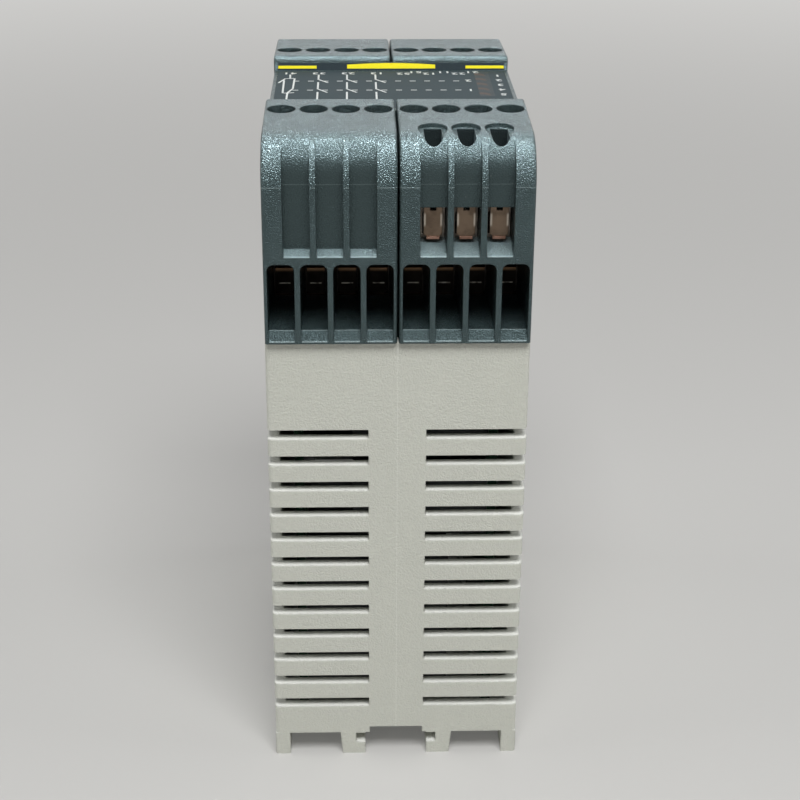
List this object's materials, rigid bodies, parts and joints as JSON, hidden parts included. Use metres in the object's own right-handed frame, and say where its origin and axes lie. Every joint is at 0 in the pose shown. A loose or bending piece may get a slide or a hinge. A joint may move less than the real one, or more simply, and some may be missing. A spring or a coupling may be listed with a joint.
{
  "type": "safety relay",
  "caption": "Slim safety relay for a top-hat rail: light grey vented housing, dark label hood with indicator window, plug-in screw terminal blocks at both ends, sprung rail latch.",
  "frame": {"origin": "middle of the footprint, on the plane of the feet of the rail side", "axes": "+Z out of the rail towards the label, +X across the 45 mm width to the right as seen from the near end, +Y along the rail's cross direction from the near end to the far end"},
  "size_m": [0.045, 0.084, 0.1194],
  "materials": {
    "housing_plastic": "fine spark-eroded, light warm grey",
    "cover_plastic": "fine texture, dark slate",
    "block_plastic": "coarse spark-eroded, slate",
    "label_print": "printed foil, satin",
    "smoky_window": "clear smoky",
    "light_pipe": "clear",
    "led_lens": "milky",
    "latch_plastic": "moulded, black",
    "spring_steel": "drawn wire",
    "board_laminate": "solder resist",
    "potting_block": "potted",
    "relay_case": "moulded",
    "capacitor_can": "satin",
    "fuse_case": "moulded",
    "chip_case": "moulded",
    "header_plastic": "moulded",
    "tinned_pin": "tinned",
    "contact_copper": "rolled copper alloy",
    "clamp_nickel": "nickel plated",
    "plate_nickel": "nickel plated",
    "screw_steel": "zinc plated"
  },
  "bodies": {
    "relay_body": {"housing_left": "housing_plastic", "housing_right": "housing_plastic", "front_cover": "cover_plastic", "label_foil": "label_print", "led_window": "smoky_window", "light_pipes": "light_pipe", "leds": "led_lens", "latch_spring": "spring_steel", "power_board": "board_laminate", "relay_board": "board_laminate", "mains_transformer": "potting_block", "relay_1": "relay_case", "relay_2": "relay_case", "relay_3": "relay_case", "capacitors": "capacitor_can", "fuse": "fuse_case", "rectifier": "chip_case", "control_chips": "chip_case", "terminal_board_far": "board_laminate", "terminal_board_near": "board_laminate", "header_near_left": "header_plastic", "header_near_right": "header_plastic", "header_far_left": "header_plastic", "header_far_right": "header_plastic", "header_pins": "tinned_pin"},
    "rail_latch": {"din_latch": "latch_plastic"},
    "near_left_block": {"plug_near_left": "block_plastic", "contacts_near_left": "contact_copper", "cages_near_left": "clamp_nickel", "pressure_plates_near_left": "plate_nickel", "screws_near_left": "screw_steel"},
    "near_right_block": {"plug_near_right": "block_plastic", "contacts_near_right": "contact_copper", "cages_near_right": "clamp_nickel", "pressure_plates_near_right": "plate_nickel", "screws_near_right": "screw_steel", "upper_contacts": "contact_copper", "upper_cages": "clamp_nickel"},
    "far_left_block": {"plug_far_left": "block_plastic", "contacts_far_left": "contact_copper", "cages_far_left": "clamp_nickel", "pressure_plates_far_left": "plate_nickel", "screws_far_left": "screw_steel"},
    "far_right_block": {"plug_far_right": "block_plastic", "contacts_far_right": "contact_copper", "cages_far_right": "clamp_nickel", "pressure_plates_far_right": "plate_nickel", "screws_far_right": "screw_steel"},
    "upper_clamp_1": {"upper_plate_1": "plate_nickel"},
    "upper_clamp_screw_1": {"upper_screw_1": "screw_steel"},
    "upper_clamp_2": {"upper_plate_2": "plate_nickel"},
    "upper_clamp_screw_2": {"upper_screw_2": "screw_steel"},
    "upper_clamp_3": {"upper_plate_3": "plate_nickel"},
    "upper_clamp_screw_3": {"upper_screw_3": "screw_steel"}
  },
  "joints": [
    {"name": "latch_slide", "type": "slide", "parent": "relay_body", "child": "rail_latch", "axis": [0, 1, 0], "range_m": [0, 0.004], "stiffness_N_per_m": 300, "springref_m": -0.004, "deforming": ["latch_spring"]},
    {"name": "pull_near_left", "type": "slide", "parent": "relay_body", "child": "near_left_block", "axis": [0, 0, 1], "range_m": [0, 0.01]},
    {"name": "pull_near_right", "type": "slide", "parent": "relay_body", "child": "near_right_block", "axis": [0, 0, 1], "range_m": [0, 0.01]},
    {"name": "pull_far_left", "type": "slide", "parent": "relay_body", "child": "far_left_block", "axis": [0, 0, 1], "range_m": [0, 0.01]},
    {"name": "pull_far_right", "type": "slide", "parent": "relay_body", "child": "far_right_block", "axis": [0, 0, 1], "range_m": [0, 0.01]},
    {"name": "lift_clamp_1", "type": "slide", "parent": "near_right_block", "child": "upper_clamp_1", "axis": [0, 0, 1], "range_m": [0, 0.0016]},
    {"name": "turn_screw_1", "type": "hinge", "parent": "upper_clamp_1", "child": "upper_clamp_screw_1", "pos_m": [0.00578, -0.0332, 0.105], "axis": [0, 0, 1], "range_deg": [0, 1155]},
    {"name": "lift_clamp_2", "type": "slide", "parent": "near_right_block", "child": "upper_clamp_2", "axis": [0, 0, 1], "range_m": [0, 0.0016]},
    {"name": "turn_screw_2", "type": "hinge", "parent": "upper_clamp_2", "child": "upper_clamp_screw_2", "pos_m": [0.01128, -0.0332, 0.105], "axis": [0, 0, 1], "range_deg": [0, 1155]},
    {"name": "lift_clamp_3", "type": "slide", "parent": "near_right_block", "child": "upper_clamp_3", "axis": [0, 0, 1], "range_m": [0, 0.0016]},
    {"name": "turn_screw_3", "type": "hinge", "parent": "upper_clamp_3", "child": "upper_clamp_screw_3", "pos_m": [0.01677, -0.0332, 0.105], "axis": [0, 0, 1], "range_deg": [0, 1155]}
  ],
  "couplings": [
    {"joint": "turn_screw_1", "follows": "lift_clamp_1", "rad_per_m": 12566},
    {"joint": "turn_screw_2", "follows": "lift_clamp_2", "rad_per_m": 12566},
    {"joint": "turn_screw_3", "follows": "lift_clamp_3", "rad_per_m": 12566}
  ]
}
